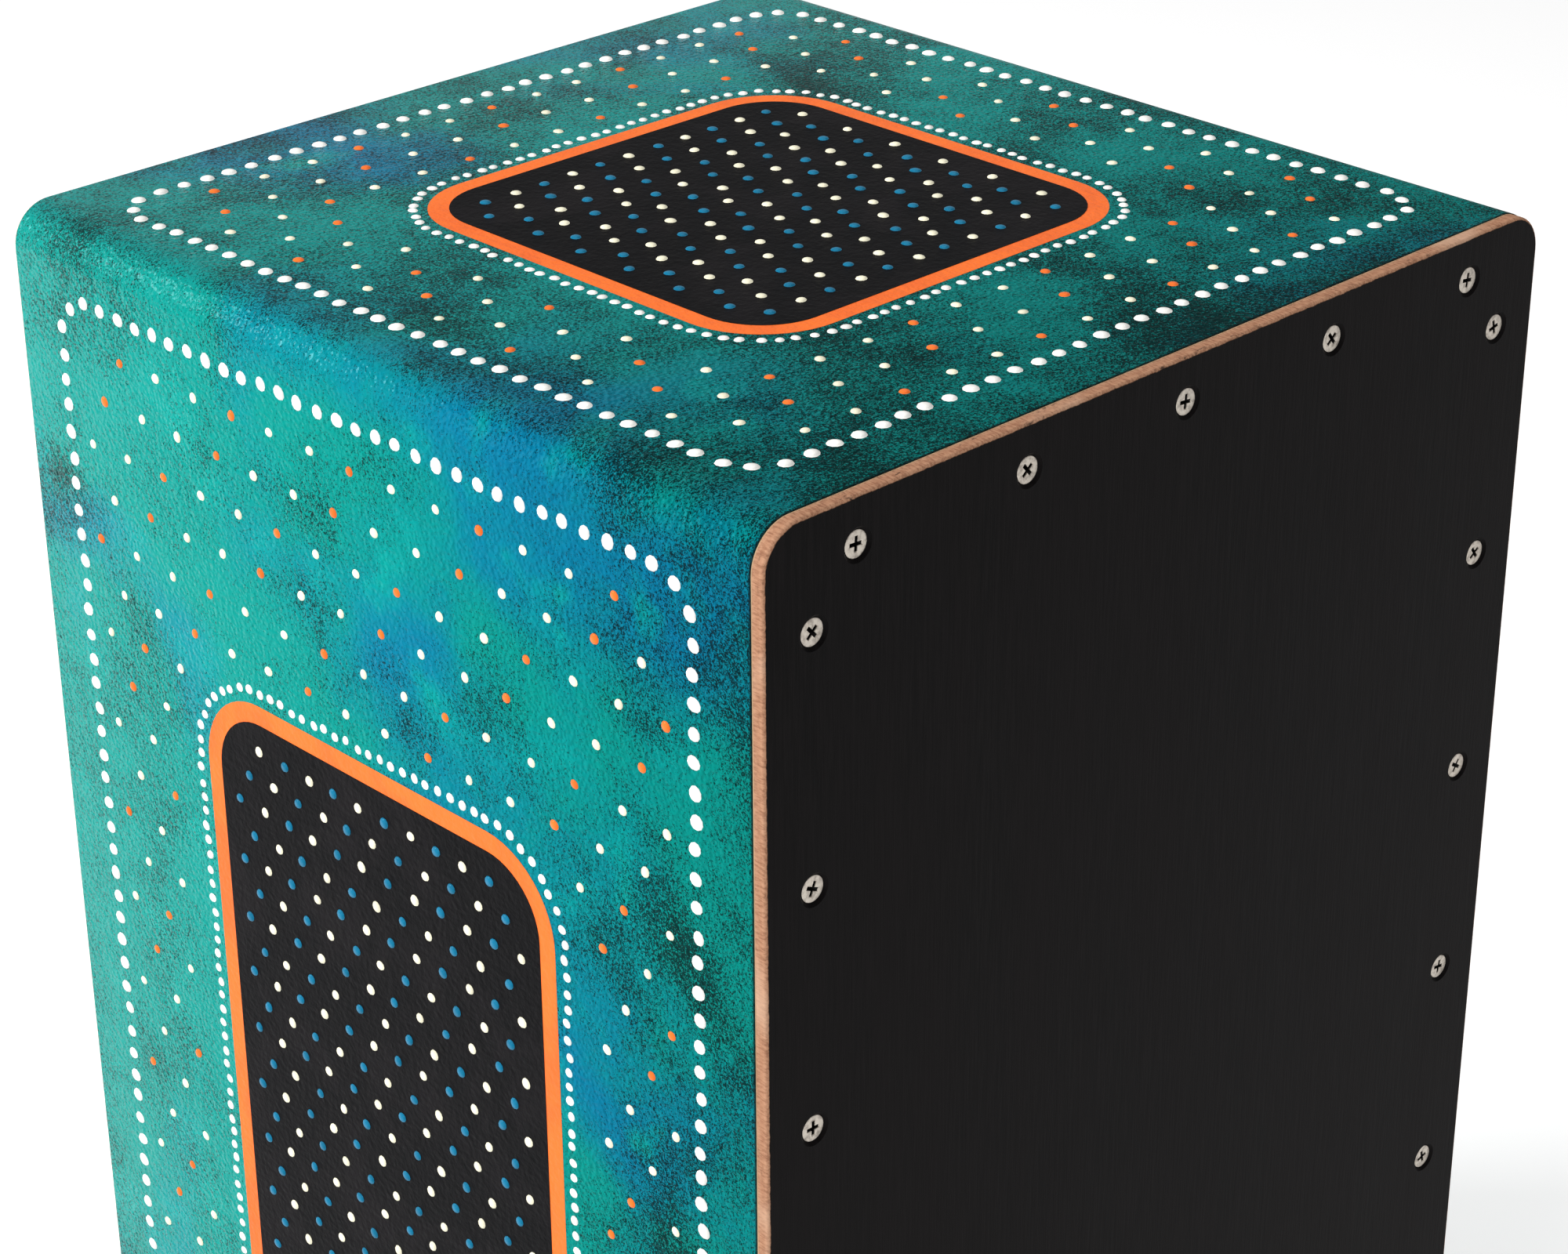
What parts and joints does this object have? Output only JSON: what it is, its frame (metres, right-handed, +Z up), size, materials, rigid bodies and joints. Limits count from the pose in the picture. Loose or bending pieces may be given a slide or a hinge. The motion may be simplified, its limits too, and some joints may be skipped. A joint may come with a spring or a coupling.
{
  "type": "cajon",
  "caption": "Box drum to sit on: a round-cornered plywood shell with a screwed-on front striking plate, a rear sound hole, rubber feet and a swivelling snare bar inside.",
  "frame": {"origin": "on the floor, under the middle of the box", "axes": "+X across the width, towards the right when facing the rear; +Y from the striking plate towards the rear plate; +Z up"},
  "size_m": [0.3, 0.302, 0.49],
  "materials": {
    "painted_panel": "hand-painted plywood, teal acrylic with a satin varnish outside, bare birch inside",
    "tapa_ply": "black-stained plywood face with a satin finish and natural edges",
    "rear_ply": "black-stained plywood with a satin finish",
    "batten_wood": "planed pine, unfinished",
    "block_wood": "planed beech, unfinished",
    "screw_steel": "nickel-plated steel, dull",
    "black_screw": "black-oxide steel",
    "foot_rubber": "matt black rubber",
    "washer_steel": "zinc-plated steel",
    "snare_steel": "bright drawn steel wire on stamped steel strips",
    "knob_plastic": "black moulded plastic",
    "insert_brass": "turned brass"
  },
  "bodies": {
    "shell": {"left_panel": "painted_panel", "right_panel": "painted_panel", "top_panel": "painted_panel", "bottom_panel": "painted_panel", "tapa": "tapa_ply", "rear_plate": "rear_ply", "front_top_batten": "batten_wood", "front_bottom_batten": "batten_wood", "front_left_batten": "batten_wood", "front_right_batten": "batten_wood", "rear_top_batten": "batten_wood", "rear_bottom_batten": "batten_wood", "rear_left_batten": "batten_wood", "rear_right_batten": "batten_wood", "top_left_glue_block": "batten_wood", "top_right_glue_block": "batten_wood", "bottom_left_glue_block": "batten_wood", "bottom_right_glue_block": "batten_wood", "tapa_screws": "screw_steel", "rear_plate_screws": "screw_steel", "pivot_block_screws": "washer_steel", "left_pivot_block": "block_wood", "right_pivot_block": "block_wood", "foot_front_left": "foot_rubber", "foot_front_right": "foot_rubber", "foot_rear_left": "foot_rubber", "foot_rear_right": "foot_rubber", "foot_washers": "washer_steel", "foot_screws": "black_screw", "knob_insert": "insert_brass"},
    "snare_bar": {"snare_bar": "block_wood", "snare_wires_left": "snare_steel", "snare_wires_right": "snare_steel", "snare_clamp_left": "snare_steel", "snare_clamp_right": "snare_steel", "clamp_screws": "black_screw"},
    "lock_knob": {"lock_knob": "knob_plastic", "knob_stud": "washer_steel"}
  },
  "joints": [
    {"name": "snare_swivel", "type": "hinge", "parent": "shell", "child": "snare_bar", "pos_m": [0, -0.109, 0.315], "axis": [-1, 0, 0], "range_deg": [0, 30]},
    {"name": "knob_turn", "type": "hinge", "parent": "shell", "child": "lock_knob", "pos_m": [0.124, -0.081, 0.315], "axis": [0, 1, 0], "range_deg": [0, 360]}
  ]
}
